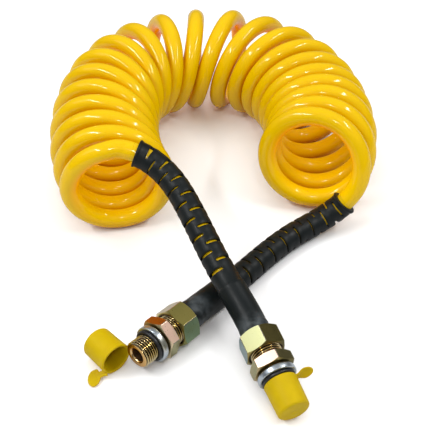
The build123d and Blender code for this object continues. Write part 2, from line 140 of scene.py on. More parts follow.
class Curve:
    """Smooth curve through points, by arc length, with level and twist-free frames."""

    def __init__(self, pts, fine=0.5):
        pts = np.asarray(pts, float)
        u = np.concatenate([[0], np.cumsum(np.linalg.norm(np.diff(pts, axis=0), axis=1))])
        f = natural(u, pts)
        uu = np.linspace(0, u[-1], int(u[-1] / fine * 2) + 1)
        p = f(uu)
        s = np.concatenate([[0], np.cumsum(np.linalg.norm(np.diff(p, axis=0), axis=1))])
        self.length = s[-1]
        n = int(self.length / fine) + 1
        self.s = np.linspace(0, self.length, n)
        self.uu, self.su = uu, s
        self.knots_s = np.interp(u, uu, s)
        p = f(np.interp(self.s, s, uu))
        t = np.empty_like(p)
        t[1:-1] = p[2:] - p[:-2]
        t[0], t[-1] = -3 * p[0] + 4 * p[1] - p[2], 3 * p[-1] - 4 * p[-2] + p[-3]
        t = unit(t)
        self.p, self.t = p, t
        r = np.empty_like(p)
        x = np.cross(t[0], UP)
        r[0] = unit(x)
        for i in range(n - 1):
            v1 = p[i + 1] - p[i]
            c1 = v1 @ v1
            rl = r[i] - (2 / c1) * (v1 @ r[i]) * v1
            tl = t[i] - (2 / c1) * (v1 @ t[i]) * v1
            v2 = t[i + 1] - tl
            c2 = v2 @ v2
            r[i + 1] = rl - (2 / c2) * (v2 @ rl) * v2 if c2 > 1e-18 else rl
        self.r = r
        k = np.gradient(t, self.s, axis=0)
        self.k = k

    def at(self, s):
        s = np.atleast_1d(np.asarray(s, float))
        g = lambda a: np.stack([np.interp(s, self.s, a[:, j]) for j in range(3)], 1)
        t = unit(g(self.t))
        r = g(self.r)
        r = unit(r - np.sum(r * t, 1, keepdims=True) * t)
        return g(self.p), t, r, np.cross(t, r), g(self.k)

    def level(self, s):
        p, t, _, _, k = self.at(s)
        x = unit(np.cross(t, UP))
        return p, t, x, np.cross(x, t), k


def lead(pts, origin, axis):
    o, u = np.array(origin), unit(axis)
    return [np.array(p) for p in pts] + [o - u * 2.0, o + u * 4.0, o + u * 10.0, o + u * TUBE_STOP]


lead_a = Curve(np.array([coil_at(np.array([K_START]))[0]] + lead(LEAD_A, FIT_A, DIR_A)) + SHIFT)
lead_b = Curve(np.array([coil_at(np.array([K_END]))[0]] + lead(LEAD_B, FIT_B, DIR_B)) + SHIFT)
A_LEN, B_LEN = lead_a.length, lead_b.length
A_MOUTH, B_MOUTH = A_LEN - TUBE_STOP - SLEEVE_LEN_A, B_LEN - TUBE_STOP - SLEEVE_LEN_B
A_CUT, B_CUT = A_MOUTH - MOUTH_CUT, B_MOUTH - MOUTH_CUT
na, nb = int(A_LEN / 3.5), int(B_LEN / 3.5)
sa, sb = np.linspace(A_LEN, 0, na + 1)[:-1], np.linspace(0, B_LEN, nb + 1)[1:]
ks = np.concatenate([[K_START], np.arange(math.ceil(K_START * 12 + 0.4), math.floor(K_END * 12 - 0.4) + 1) / 12.0, [K_END]])
hose_pts = np.concatenate([lead_a.at(sa)[0], coil_at(ks) + SHIFT, lead_b.at(sb)[0]])
hose = Curve(hose_pts)
K_S = (ks, hose.knots_s[len(sa):len(sa) + len(ks)])
S_K0, S_K1 = K_S[1][0], K_S[1][-1]


def s_of_k(k):
    return float(np.interp(k, *K_S))


def s_on_a(s):
    return S_K0 - s


def s_on_b(s):
    return S_K1 + s


# ------------------------------------------------------------------ mesh helpers
def put(name, verts, quads, tris=None, mats=(), sharp=None, uv=None, face_mat=None):
    """One closed mesh object from millimetre points; the winding is turned so that normals point out."""
    v = np.asarray(verts, float)
    q = np.asarray(quads, int)
    t = np.asarray(tris if tris is not None else np.zeros((0, 3)), int)
    vol = np.sum(np.einsum("ij,ij->i", v[q[:, 0]], np.cross(v[q[:, 1]], v[q[:, 2]])) + np.einsum("ij,ij->i", v[q[:, 0]], np.cross(v[q[:, 2]], v[q[:, 3]])))
    if len(t):
        vol += np.sum(np.einsum("ij,ij->i", v[t[:, 0]], np.cross(v[t[:, 1]], v[t[:, 2]])))
    if vol < 0:
        q, t = q[:, ::-1], t[:, ::-1]
        uv = uv[:, ::-1] if uv is not None else None
    me = bpy.data.meshes.new(name)
    me.from_pydata((v * 0.001).tolist(), [], q.tolist() + t.tolist())
    me.update()
    me.polygons.foreach_set("use_smooth", np.ones(len(me.polygons), bool))
    if sharp is not None:
        me.set_sharp_from_angle(angle=math.radians(sharp))
    if uv is not None:
        layer = me.uv_layers.new(name="along")
        flat = np.concatenate([uv.reshape(-1, 2), np.zeros((len(t) * 3, 2))])
        layer.data.foreach_set("uv", flat.astype(np.float32).ravel())
    for m in mats:
        me.materials.append(m)
    if face_mat is not None:
        me.polygons.foreach_set("material_index", np.concatenate([face_mat, np.zeros(len(t), int)]).astype(np.int32))
    ob = bpy.data.objects.new(name, me)
    bpy.context.scene.collection.objects.link(ob)
    return ob


def ring_quads(m, n, loop):
    j = np.arange(m if loop else m - 1)[:, None]
    i = np.arange(n)[None, :]
    j2, i2 = (j + 1) % m, (i + 1) % n
    return np.stack([j * n + i, j * n + i2, j2 * n + i2, j2 * n + i], -1).reshape(-1, 4)


def ring_uv(u, w, loop):
    """UV per quad corner in metres: u along the rings, w round them."""
    m, n = len(u), len(w) - 1
    j = np.arange(m if loop else m - 1)[:, None] + np.zeros((1, n), int)
    i = np.arange(n)[None, :] + np.zeros((m if loop else m - 1, 1), int)
    j2 = (j + 1) % m
    c = [np.stack([u[a], w[b]], -1) for a, b in ((j, i), (j, i + 1), (j2, i + 1), (j2, i))]
    return np.stack(c, 2).reshape(-1, 4, 2)


def stations(s0, s1, gap):
    """Arc lengths from s0 to s1 about gap apart, with a very short first and last step so that normals match the next piece."""
    n = max(2, int(round((s1 - s0) / gap)))
    inner = np.linspace(s0, s1, n + 1)[1:-1]
    e = min(0.12, (s1 - s0) / 8)
    return np.concatenate([[s0, s0 + e], inner, [s1 - e, s1]])


AX_K = grid[(grid >= K_START) & (grid <= K_END)]
AX_P = axis_pts[(grid >= K_START) & (grid <= K_END)] + SHIFT
AX_S = np.interp(AX_K, *K_S)


def hose_piece(name, s0, s1, weight=None, around=36, gap=2.0, mat=None):
    """Tube wall between two arc lengths of the hose; weight(s) gives the share of the second body per ring."""
    so = stations(s0, s1, gap)
    si = stations(s0, s1, gap * 2)[::-1]
    phi = np.arange(around) * 2 * np.pi / around
    rings = []
    for ss, r in ((so, HOSE_R), (si, BORE_R)):
        p, t, x, y, _ = hose.at(ss)
        rings.append(p[:, None, :] + r * (np.cos(phi)[None, :, None] * x[:, None, :] + np.sin(phi)[None, :, None] * y[:, None, :]))
    rings = np.concatenate(rings)
    sall = np.concatenate([so, si])
    # inward: how far each point faces the coil's axis, faded out along the leads; the hose material uses it to place
    # painted shade and painted glow
    mid_line = np.stack([np.interp(sall, AX_S, AX_P[:, j]) for j in range(3)], 1)
    centre = hose.at(sall)[0]
    toward = unit(mid_line - centre)
    face = np.sum((rings - centre[:, None]) * toward[:, None], 2) / np.concatenate([np.full(len(so), HOSE_R), np.full(len(si), BORE_R)])[:, None]
    face *= np.interp(sall, [S_K0 - 12, S_K0, S_K1, S_K1 + 12], [0, 1, 1, 0])[:, None]
    u = sall * 0.001
    w = np.arange(around + 1) / around * 2 * np.pi * HOSE_R * 0.001
    ob = put(name, rings.reshape(-1, 3), ring_quads(len(rings), around, True), mats=[mat or M_HOSE], sharp=50, uv=ring_uv(u, w, True))
    ob.data.attributes.new("inward", "FLOAT", "POINT").data.foreach_set("value", face.astype(np.float32).ravel())
    if weight is not None:
        return ob, np.repeat(np.concatenate([weight(so), weight(si)]), around)
    return ob


def bend_rings(ob):
    """Bakes the hose piece's transform into its mesh and returns it."""
    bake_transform(ob)
    return ob


def fit_frame(origin, axis):
    o, u = np.array(origin) + SHIFT, unit(axis)
    x = unit(np.cross(u, UP))
    return o, u, x, np.cross(x, u)


def lathe(name, fr, prof, phis, mats, sharp=35, poles=None, face_mat=None):
    """Rings round a fitting axis. prof(phi) gives arrays (t, r), each profile point by each angle; poles are the two t on the axis."""
    o, u, x, y = fr
    t, r = prof(phis)
    t = np.broadcast_to(np.asarray(t, float), (len(t), len(phis)))
    r = np.broadcast_to(np.asarray(r, float), (len(r), len(phis)))
    P = o + t[..., None] * u + r[..., None] * (np.cos(phis)[None, :, None] * x + np.sin(phis)[None, :, None] * y)
    m, n = t.shape
    verts = P.reshape(-1, 3)
    quads = ring_quads(m, n, poles is None)
    tris = None
    tl = np.concatenate([[0], np.cumsum(np.hypot(np.diff(t[:, 0]), np.diff(r[:, 0])))]) * 0.001
    uv = ring_uv(tl, np.append(phis, phis[0] + 2 * np.pi) * 0.01, poles is None)
    if poles is not None:
        verts = np.concatenate([verts, [o + u * poles[0]], [o + u * poles[1]]])
        i = np.arange(n)
        i2 = (i + 1) % n
        tris = np.concatenate([np.stack([np.full(n, m * n), i2, i], 1), np.stack([np.full(n, m * n + 1), (m - 1) * n + i, (m - 1) * n + i2], 1)])
    fm = face_mat(t, r) if face_mat else None
    return put(name, verts, quads, tris, mats=mats, sharp=sharp, uv=uv, face_mat=fm)


def rows(*pts):
    """Profile points as two columns of rows, each a number or an array over the angles."""
    t = [np.atleast_1d(np.asarray(p[0], float)) for p in pts]
    r = [np.atleast_1d(np.asarray(p[1], float)) for p in pts]
    n = max(len(a) for a in t + r)
    return np.array([np.broadcast_to(a, n) for a in t]), np.array([np.broadcast_to(a, n) for a in r])


def arc(cx, cy, rad, a0, a1, n):
    """Points on an arc in the (t, r) plane, degrees."""
    a = np.radians(np.linspace(a0, a1, n))
    return [(cx + rad * math.cos(q), cy + rad * math.sin(q)) for q in a]


# ------------------------------------------------------------------ materials
class Mat:
    """Small builder for a node material with one Principled shader."""

    def __init__(self, name):
        self.m = bpy.data.materials.new(name)
        self.m.use_nodes = True
        self.tree = self.m.node_tree
        self.tree.nodes.clear()
        self.b = self.tree.nodes.new("ShaderNodeBsdfPrincipled")
        o = self.tree.nodes.new("ShaderNodeOutputMaterial")
        self.tree.links.new(self.b.outputs[0], o.inputs[0])
        self.co = self.tree.nodes.new("ShaderNodeTexCoord")

    def node(self, kind, **kw):
        n = self.tree.nodes.new(kind)
        for k, v in kw.items():
            setattr(n, k, v)
        return n

    def feed(self, socket, v):
        if isinstance(v, bpy.types.NodeSocket):
            self.tree.links.new(v, socket)
        elif isinstance(v, (tuple, list)) and len(v) == 3 and socket.type == "RGBA":
            socket.default_value = (*v, 1.0)
        else:
            socket.default_value = v

    def set(self, **kw):
        for k, v in kw.items():
            self.feed(self.b.inputs[k.replace("_", " ")], v)

    def noise(self, vec, scale, detail=4.0, rough=0.55, distort=0.0):
        n = self.node("ShaderNodeTexNoise")
        self.feed(n.inputs["Vector"], vec)
        n.inputs["Scale"].default_value = scale
        n.inputs["Detail"].default_value = detail
        n.inputs["Roughness"].default_value = rough
        n.inputs["Distortion"].default_value = distort
        return n.outputs["Fac"]

    def scaled(self, vec, scale, loc=(0, 0, 0)):
        n = self.node("ShaderNodeMapping")
        self.feed(n.inputs["Vector"], vec)
        n.inputs["Scale"].default_value = scale
        n.inputs["Location"].default_value = loc
        return n.outputs[0]

    def math(self, op, a, b=0.0, clamp=False):
        n = self.node("ShaderNodeMath", operation=op, use_clamp=clamp)
        self.feed(n.inputs[0], a)
        self.feed(n.inputs[1], b)
        return n.outputs[0]

    def span(self, v, a, b, c=0.0, d=1.0):
        n = self.node("ShaderNodeMapRange", clamp=True)
        self.feed(n.inputs["Value"], v)
        for k, q in (("From Min", a), ("From Max", b), ("To Min", c), ("To Max", d)):
            n.inputs[k].default_value = q
        return n.outputs[0]

    def dot(self, vec, d):
        n = self.node("ShaderNodeVectorMath", operation="DOT_PRODUCT")
        self.feed(n.inputs[0], vec)
        n.inputs[1].default_value = tuple(float(q) for q in d)
        return n.outputs["Value"]

    def ramp(self, fac, stops, mode="LINEAR"):
        n = self.node("ShaderNodeValToRGB")
        self.feed(n.inputs[0], fac)
        r = n.color_ramp
        r.interpolation = mode
        while len(r.elements) > 1:
            r.elements.remove(r.elements[-1])
        r.elements[0].position = stops[0][0]
        r.elements[0].color = (*stops[0][1], 1)
        for p, c in stops[1:]:
            e = r.elements.new(p)
            e.color = (*c, 1)
        return n.outputs[0]

    def mix(self, fac, a, b, how="MIX"):
        n = self.node("ShaderNodeMix", data_type="RGBA", blend_type=how, clamp_factor=True)
        self.feed(n.inputs[0], fac)
        self.feed(n.inputs[6], a)
        self.feed(n.inputs[7], b)
        return n.outputs[2]

    def bump(self, height, strength, distance=0.0002, under=None):
        n = self.node("ShaderNodeBump")
        n.inputs["Strength"].default_value = strength
        n.inputs["Distance"].default_value = distance
        self.feed(n.inputs["Height"], height)
        if under is not None:
            self.feed(n.inputs["Normal"], under)
        return n.outputs[0]

    def occlusion(self, distance, samples=6):
        n = self.node("ShaderNodeAmbientOcclusion", samples=samples)
        n.inputs["Distance"].default_value = distance
        return n.outputs["AO"]

    @property
    def obj(self):
        return self.co.outputs["Object"]

    @property
    def uv(self):
        return self.co.outputs["UV"]

    @property
    def normal(self):
        return self.co.outputs["Normal"]


def hose_material(name, paint_shade_and_glow):
    m = Mat(name)
    cloud = m.noise(m.obj, 22, 3)
    base = m.ramp(cloud, [(0.3, (0.60, 0.375, 0.0001)), (0.7, (0.66, 0.418, 0.0001))])
    # painted shade and painted glow, standing in for light through a slightly translucent tube: a warmer orange where
    # the wall only sees its neighbours and where inward faces look down, and a weak emission on the inward faces
    col = base
    if paint_shade_and_glow:
        occluded_shade = m.span(m.occlusion(0.018), 0.10, 0.72, 0.85, 0.0)
        inward = m.node("ShaderNodeAttribute", attribute_name="inward").outputs["Fac"]
        # painted shade: orange on inward faces that look down
        under = m.math("MULTIPLY", m.span(m.dot(m.normal, (0, 0, 1)), 0.35, -0.75), m.span(inward, -0.35, 0.7))
        inner = m.span(inward, -0.1, 0.8)
        col = m.mix(m.math("MAXIMUM", occluded_shade, m.math("MULTIPLY", under, 0.9)), base, (0.70, 0.240, 0.0001))
        # painted glow: the emission is amber on inward faces that look up and dark orange on those that look down
        glow = m.mix(m.span(m.dot(m.normal, (0, 0, 1)), -0.35, 0.35), (0.85, 0.22, 0.0), (0.90, 0.50, 0.0))
        m.set(Emission_Color=glow, Emission_Strength=m.math("MULTIPLY", inner, 0.27))
    streak = m.noise(m.scaled(m.uv, (26, 2100, 1)), 1.0, 3)
    grain = m.noise(m.obj, 1400, 2)
    flecks = m.noise(m.obj, 260, 5, 0.65)
    rough = m.math("ADD", m.span(streak, 0.3, 0.75, 0.09, 0.16), m.span(flecks, 0.6, 0.8, 0.0, 0.12))
    n1 = m.bump(streak, 0.10, 0.00006)
    n2 = m.bump(grain, 0.05, 0.00004, n1)
    m.set(Base_Color=col, Roughness=rough, IOR=1.48, Specular_IOR_Level=0.30, Normal=n2, Coat_Weight=0.10, Coat_Roughness=0.05,
          Subsurface_Weight=0.08, Subsurface_Radius=(1.0, 0.55, 0.03), Subsurface_Scale=0.0010)
    return m.m


def sleeve_material():
    m = Mat("sleeve_rubber")
    cloud = m.noise(m.obj, 60, 4)
    dust = m.noise(m.scaled(m.obj, (1, 1, 1), (3, 1, 2)), 340, 6, 0.7)
    base = m.ramp(cloud, [(0.35, (0.0035, 0.0058, 0.0064)), (0.68, (0.0065, 0.0086, 0.0085))])
    col = m.mix(m.span(dust, 0.56, 0.8, 0.0, 0.30), base, (0.018, 0.019, 0.017))
    along = m.node("ShaderNodeSeparateXYZ")
    m.feed(along.inputs[0], m.uv)
    # painted sheen: a lighter bluish band near the nut end of the sleeve, broken up by noise
    end_sheen = m.math("MULTIPLY", m.span(along.outputs["X"], 0.125, 0.134), m.span(m.noise(m.obj, 150, 4), 0.35, 0.65))
    col = m.mix(end_sheen, col, (0.050, 0.058, 0.062))
    drag = m.noise(m.scaled(m.uv, (70, 900, 1)), 1.0, 4, 0.6)
    grain = m.noise(m.obj, 1900, 3, 0.6)
    rough = m.math("ADD", m.span(drag, 0.3, 0.7, 0.36, 0.50), m.span(dust, 0.5, 0.8, 0.0, 0.15))
    n = m.bump(grain, 0.16, 0.00005, m.bump(drag, 0.14, 0.00008))
    m.set(Base_Color=col, Roughness=rough, IOR=1.45, Normal=n, Specular_IOR_Level=0.27)
    return m.m


def zinc_material(name, lean, stops, axis, shift=0.0, rough=0.29, groove=0.003):
    """Yellow passivated zinc: a colour ramp read by each facet's direction and drifting in soft clouds; over the
    chromate's own tints it paints reflection and shade per facet.
    """
    m = Mat(name)
    # painted reflection and painted shade: the facet's direction picks the ramp colour
    face = m.dot(m.normal, lean)
    drift = m.noise(m.obj, 80, 2, 0.5, 0.6)
    fine = m.noise(m.obj, 1500, 3, 0.5)
    fac = m.math("ADD", m.span(face, -1, 1, 0.0, 1.0), m.math("ADD", m.span(drift, 0.25, 0.75, -0.06 + shift, 0.06 + shift), m.span(fine, 0.3, 0.7, -0.008, 0.008)), True)
    col = m.ramp(fac, stops)
    # painted shade: darker brown where the surface is occluded
    ao = m.occlusion(groove, 5)
    col = m.mix(m.span(ao, 0.1, 0.8, 0.85, 0.0), col, (0.06, 0.038, 0.016))
    # painted shade: the thread roots are darkened by the groove depth
    root = m.node("ShaderNodeAttribute", attribute_name="groove").outputs["Fac"]
    col = m.mix(m.span(root, 0.25, 0.85, 0.0, 0.88), col, (0.045, 0.026, 0.008))
    along = m.dot(m.obj, np.array(axis) * 3800.0)
    lines = m.noise(m.scaled(m.obj, tuple(0.02 + abs(float(a)) for a in axis)), 2600, 3, 0.6)
    n = m.bump(lines, 0.008, 0.00001)
    m.set(Base_Color=col, Metallic=1.0, Roughness=m.math("ADD", m.span(fine, 0.3, 0.75, rough - 0.01, rough + 0.02), m.math("MULTIPLY", m.math("SINE", along), 0.01)), Normal=n)
    return m.m


def ring_material():
    m = Mat("ring_bright_zinc")
    drift = m.noise(m.obj, 75, 2, 0.5, 0.6)
    fine = m.noise(m.obj, 1200, 3)
    col = m.ramp(drift, [(0.25, (0.60, 0.58, 0.44)), (0.40, (0.62, 0.66, 0.68)), (0.62, (0.56, 0.64, 0.72)), (0.78, (0.66, 0.60, 0.54))])
    m.set(Base_Color=col, Metallic=1.0, Roughness=m.span(fine, 0.3, 0.7, 0.27, 0.33), Normal=m.bump(fine, 0.01, 0.00001))
    return m.m


def oring_material():
    m = Mat("o_ring_rubber")
    fine = m.noise(m.obj, 1500, 3)
    spot = m.noise(m.obj, 300, 4)
    m.set(Base_Color=m.ramp(spot, [(0.4, (0.008, 0.008, 0.009)), (0.7, (0.016, 0.016, 0.017))]), Roughness=m.span(fine, 0.3, 0.7, 0.26, 0.42), Normal=m.bump(fine, 0.08, 0.00003))
    return m.m


def cap_material():
    m = Mat("cap_polyethylene")
    cloud = m.noise(m.obj, 90, 3)
    fine = m.noise(m.obj, 1300, 4, 0.65)
    flow = m.noise(m.scaled(m.uv, (40, 500, 1)), 1.0, 3)
    base = m.ramp(cloud, [(0.35, (0.41, 0.285, 0.0001)), (0.7, (0.46, 0.322, 0.0001))])
    # painted shade: warmer orange where the cap is occluded
    col = m.mix(m.span(m.occlusion(0.010), 0.15, 0.75, 0.6, 0.0), base, (0.56, 0.30, 0.0003))
    rough = m.math("ADD", m.span(fine, 0.3, 0.7, 0.46, 0.58), m.span(flow, 0.5, 0.8, 0.0, 0.08))
    # painted glow: the emission lights the cap's hollows a weak yellow
    m.set(Base_Color=col, Roughness=rough, IOR=1.45, Specular_IOR_Level=0.12, Normal=m.bump(fine, 0.08, 0.00003, m.bump(flow, 0.06, 0.00004)),
          Emission_Color=(0.55, 0.33, 0.0), Emission_Strength=m.span(m.occlusion(0.010), 0.15, 0.7, 0.10, 0.0), Subsurface_Weight=0.15, Subsurface_Radius=(1.0, 0.5, 0.05), Subsurface_Scale=0.0010)
    return m.m


def steel_material(name, a, b, rough):
    m = Mat(name)
    drift = m.noise(m.obj, 200, 4)
    fine = m.noise(m.obj, 1600, 3)
    m.set(Base_Color=m.ramp(drift, [(0.3, a), (0.7, b)]), Metallic=1.0, Roughness=m.span(fine, 0.3, 0.7, rough - 0.06, rough + 0.08), Normal=m.bump(fine, 0.1, 0.00003))
    return m.m


# ramp colours for the zinc parts; the pale stops paint reflections and DARK paints shade, facet by facet
OLIVE, GREEN, GOLD, CREAM, PINK = (0.24, 0.205, 0.065), (0.27, 0.34, 0.15), (0.58, 0.42, 0.14), (0.84, 0.72, 0.44), (0.80, 0.54, 0.42)
BLUE, BROWN, DARK = (0.50, 0.62, 0.66), (0.56, 0.27, 0.05), (0.10, 0.085, 0.03)
U_A, U_B = unit(DIR_A), unit(DIR_B)
M_HOSE, M_HOSE_END, M_SLEEVE = hose_material("hose_polyamide", True), hose_material("hose_polyamide_in_sleeve", False), sleeve_material()
M_NUT_A = zinc_material("nut_a_zinc", (1, 0, 0), [(0.02, (0.30, 0.44, 0.46)), (0.12, (0.40, 0.52, 0.50)), (0.20, (0.42, 0.43, 0.23)), (0.36, (0.44, 0.43, 0.21)), (0.50, (0.46, 0.38, 0.14)), (0.66, OLIVE), (0.90, DARK)], DIR_A)
M_NUT_B = zinc_material("nut_b_zinc", (0.7, -0.7, 0), [(0.10, (0.66, 0.68, 0.60)), (0.30, CREAM), (0.50, (0.50, 0.42, 0.12)), (0.68, (0.36, 0.31, 0.09)), (0.86, GREEN), (1.0, (0.28, 0.40, 0.24))], DIR_B)
M_BODY_A = zinc_material("body_a_zinc", (1, 0, 0), [(0.02, (0.42, 0.40, 0.20)), (0.18, (0.70, 0.58, 0.38)), (0.32, (0.74, 0.52, 0.42)), (0.46, (0.70, 0.56, 0.34)), (0.62, GOLD), (0.78, OLIVE), (0.96, DARK)], DIR_A)
M_BODY_B = zinc_material("body_b_zinc", (0.7, -0.7, 0), [(0.08, (0.48, 0.36, 0.12)), (0.26, (0.50, 0.27, 0.07)), (0.38, (0.46, 0.25, 0.06)), (0.50, (0.50, 0.36, 0.14)), (0.64, CREAM), (0.80, PINK), (0.92, (0.52, 0.50, 0.26)), (1.0, OLIVE)], DIR_B)
M_THREAD = zinc_material("thread_zinc", (0.2, -0.7, 0.5), [(0.15, BROWN), (0.38, GOLD), (0.60, (0.56, 0.46, 0.20)), (0.78, CREAM), (0.95, GOLD)], DIR_B, rough=0.18, groove=0.0011)
M_FACE = zinc_material("end_face_zinc", (0.3, -0.5, 0.8), [(0.2, (0.40, 0.17, 0.04)), (0.5, (0.72, 0.38, 0.10)), (0.8, (0.80, 0.55, 0.24))], DIR_B, rough=0.2)
# painted highlight: a bright cream colour on the narrow corner lands of the hexagons, standing in for the light their
# edges catch
M_EDGE_GLINT = zinc_material("edge_glint_zinc", (0.3, -0.5, 0.4), [(0.2, (0.80, 0.70, 0.50)), (0.5, (0.92, 0.88, 0.76)), (0.8, (0.85, 0.72, 0.60))], DIR_B, rough=0.16)
# painted shade: the dark brown colour of the bore stands in for the shade inside the hole
M_BORE = steel_material("bore_dark", (0.20, 0.12, 0.06), (0.34, 0.22, 0.11), 0.34)
M_RING, M_ORING, M_CAP = ring_material(), oring_material(), cap_material()
M_STEEL = steel_material("cutting_ring_steel", (0.50, 0.50, 0.50), (0.62, 0.61, 0.58), 0.28)
M_BRASS = steel_material("insert_brass", (0.60, 0.42, 0.16), (0.74, 0.56, 0.26), 0.26)

# ------------------------------------------------------------------ hose
K_OUT, K_MID, K_IN = -8.7, -4.75, -1.0
S_CUT_A, S_CUT_B = s_on_a(A_CUT), s_on_b(B_CUT)
S_OUT, S_MID, S_IN = s_of_k(K_OUT), s_of_k(K_MID), s_of_k(K_IN)
S_SWING = S_CUT_B - 34.0


def ramp_between(a, b):
    return lambda s: np.clip((s - a) / (b - a), 0.0, 1.0)


def smooth_between(a, b):
    def f(s):
        q = np.clip((s - a) / (b - a), 0.0, 1.0)
        return q * q * (3 - 2 * q)
    return f


lead_end_a = hose_piece("hose_end_a", 0.0, S_CUT_A - 0.05, mat=M_HOSE_END)
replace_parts(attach(lead_end_a, "lead_a"), "hose_lead_a")
left_end = hose_piece("hose_turns_left", S_CUT_A, S_OUT)
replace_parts(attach(left_end, "left_outer"), "coil_left_outer")
outer, w_outer = hose_piece("hose_turns_stretch_outer", S_OUT, S_MID, ramp_between(S_MID, S_OUT))
bend_rings(outer)
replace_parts(outer, "coil_left_outer", "coil_left_inner")
inner, w_inner = hose_piece("hose_turns_stretch_inner", S_MID, S_IN, ramp_between(S_IN, S_MID))
bend_rings(inner)
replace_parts(inner, "coil_left_inner", "coil_main")
main = hose_piece("hose_turns_main", S_IN, S_SWING)
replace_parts(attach(main, "coil"), "coil_main")
swing, w_swing = hose_piece("hose_swing_b", S_SWING, S_CUT_B, smooth_between(S_SWING, S_CUT_B))
bend_rings(swing)
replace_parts(swing, "coil_main")
lead_end_b = hose_piece("hose_end_b", S_CUT_B, hose.length, mat=M_HOSE_END)
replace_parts(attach(lead_end_b, "lead_b"), "hose_lead_b")


# ------------------------------------------------------------------ slotted bend sleeves
def sleeve(name, curve, mouth, length, slots, around=72):
    """Thick slotted sleeve. slots: (distance from the mouth, centre angle, half arc, width) in mm and degrees."""
    end = 33.0
    prof = [(0.0, 7.95), (0.12, 8.35), (0.45, 8.66), (0.95, 8.70), (1.45, 8.52), (1.9, 8.18), (2.4, 8.0)]
    step = [(length - end - 0.5, 8.0), (length - end - 0.12, 8.30), (length - end + 0.25, 8.48)]
    tail = [(length - 0.45, 8.45), (length - 0.15, 8.35), (length, 8.08)]
    body = []   # (s, r, slot index or None, side)
    for k, (s, *_rest) in enumerate(slots):
        body += [(s - 1.9, 8.05, None, 0), (s - 0.62, 7.97, k, -2), (s - 0.6, 7.97, k, -1), (s + 0.6, 7.97, k, 1), (s + 0.62, 7.97, k, 2), (s + 1.9, 8.05, None, 0)]
    body = [b for b in body if 2.2 < b[0] < length - end - 0.8]
    mids = [(s0[0] + s1[0]) / 2 for s0, s1 in zip(slots[:-1], slots[1:])]
    body += [(q, 8.1, None, 0) for q in mids]
    body += [(q, 8.5 + 0.24 * math.exp(-((q - length + 4.6) / 1.25) ** 2) - 0.06 * math.exp(-((q - length + 7.6) / 1.2) ** 2), None, 0) for q in np.linspace(length - end + 1.5, length - 0.9, 44)]
    allrows = sorted([(s, r, None, 0) for s, r in prof + step + tail] + body, key=lambda b: (b[0], b[3]))
    m, n = len(allrows), around
    phi = np.arange(n) * 2 * np.pi / n
    deg = np.degrees(phi)
    S = np.zeros((m, n))
    R = np.zeros((m, n))
    hole = np.zeros((m, n), bool)      # cell between row j and j+1, column i and i+1
    kappa = {}
    for j, (s, r, k, side) in enumerate(allrows):
        S[j], R[j] = s, r
        if k is None:
            continue
        sk, centre, half, width = slots[k]
        p, t, x, y, kv = curve.level(mouth + sk)
        outward = -(np.cos(phi) * (kv[0] @ x[0]) + np.sin(phi) * (kv[0] @ y[0]))    # positive on the outside of the bend
        w = np.clip(width + 11.6 * 8.0 * outward * 0.55, 1.15, 2.6) / 2
        open_ = np.zeros(n)
        for c in (centre, centre + 180.0):
            off = (deg - c + 180.0) % 360.0 - 180.0
            inside = np.abs(off) <= half + 1e-6
            edge = np.abs(off) > half - 360.0 / n
            open_ = np.where(inside, np.where(edge, 0.45, 1.0), open_)
        away = np.where(open_ > 0, w * open_, 0.6)
        S[j] = sk + np.sign(side) * (away + (0.42 if abs(side) == 2 else 0.0))
        if abs(side) == 1:
            R[j] = np.where(open_ > 0, 7.78, 7.97)
        if side == -1:
            inside = open_ > 0
            hole[j] = inside & np.roll(inside, -1)
    p = np.zeros((m, n, 3))
    q = np.zeros((m, n, 3))
    for j in range(m):
        P, T, X, Y, _ = curve.level(mouth + S[j])
        d = np.cos(phi)[:, None] * X + np.sin(phi)[:, None] * Y
        p[j] = P + d * R[j][:, None]
        q[j] = P + d * 6.16
    verts = np.concatenate([p.reshape(-1, 3), q.reshape(-1, 3)])
    N = m * n
    quads, uvs = [], []
    u = S * 0.001
    wv = np.arange(n + 1) / n * 2 * np.pi * 0.008

    def cell(a, b, c, d, ua):
        quads.append((a, b, c, d))
        uvs.append(ua)
    for j in range(m - 1):
        for i in range(n):
            i2 = (i + 1) % n
            a, b, c, d = j * n + i, j * n + i2, (j + 1) * n + i2, (j + 1) * n + i
            tex = ((u[j, i], wv[i]), (u[j, i2], wv[i + 1]), (u[j + 1, i2], wv[i + 1]), (u[j + 1, i], wv[i]))
            if not hole[j, i]:
                cell(a, b, c, d, tex)
                cell(a + N, d + N, c + N, b + N, (tex[0], tex[3], tex[2], tex[1]))
            else:
                cell(a, b, b + N, a + N, (tex[0], tex[1], tex[1], tex[0]))
                cell(d, d + N, c + N, c, (tex[3], tex[3], tex[2], tex[2]))
                if not hole[j, (i - 1) % n]:
                    cell(a, a + N, d + N, d, (tex[0], tex[0], tex[3], tex[3]))
                if not hole[j, i2]:
                    cell(b, c, c + N, b + N, (tex[1], tex[2], tex[2], tex[1]))
    for i in range(n):
        i2 = (i + 1) % n
        z = (0.0, wv[i])
        cell(i, i + N, i2 + N, i2, (z, z, z, z))
        e = (m - 1) * n
        cell(e + i, e + i2, e + i2 + N, e + i + N, (z, z, z, z))
    ob = put(name, verts, quads, mats=[M_SLEEVE], sharp=42, uv=np.array(uvs))
    bm = bmesh.new()
    bm.from_mesh(ob.data)
    bmesh.ops.recalc_face_normals(bm, faces=bm.faces)
    bm.to_mesh(ob.data)
    bm.free()
    return ob


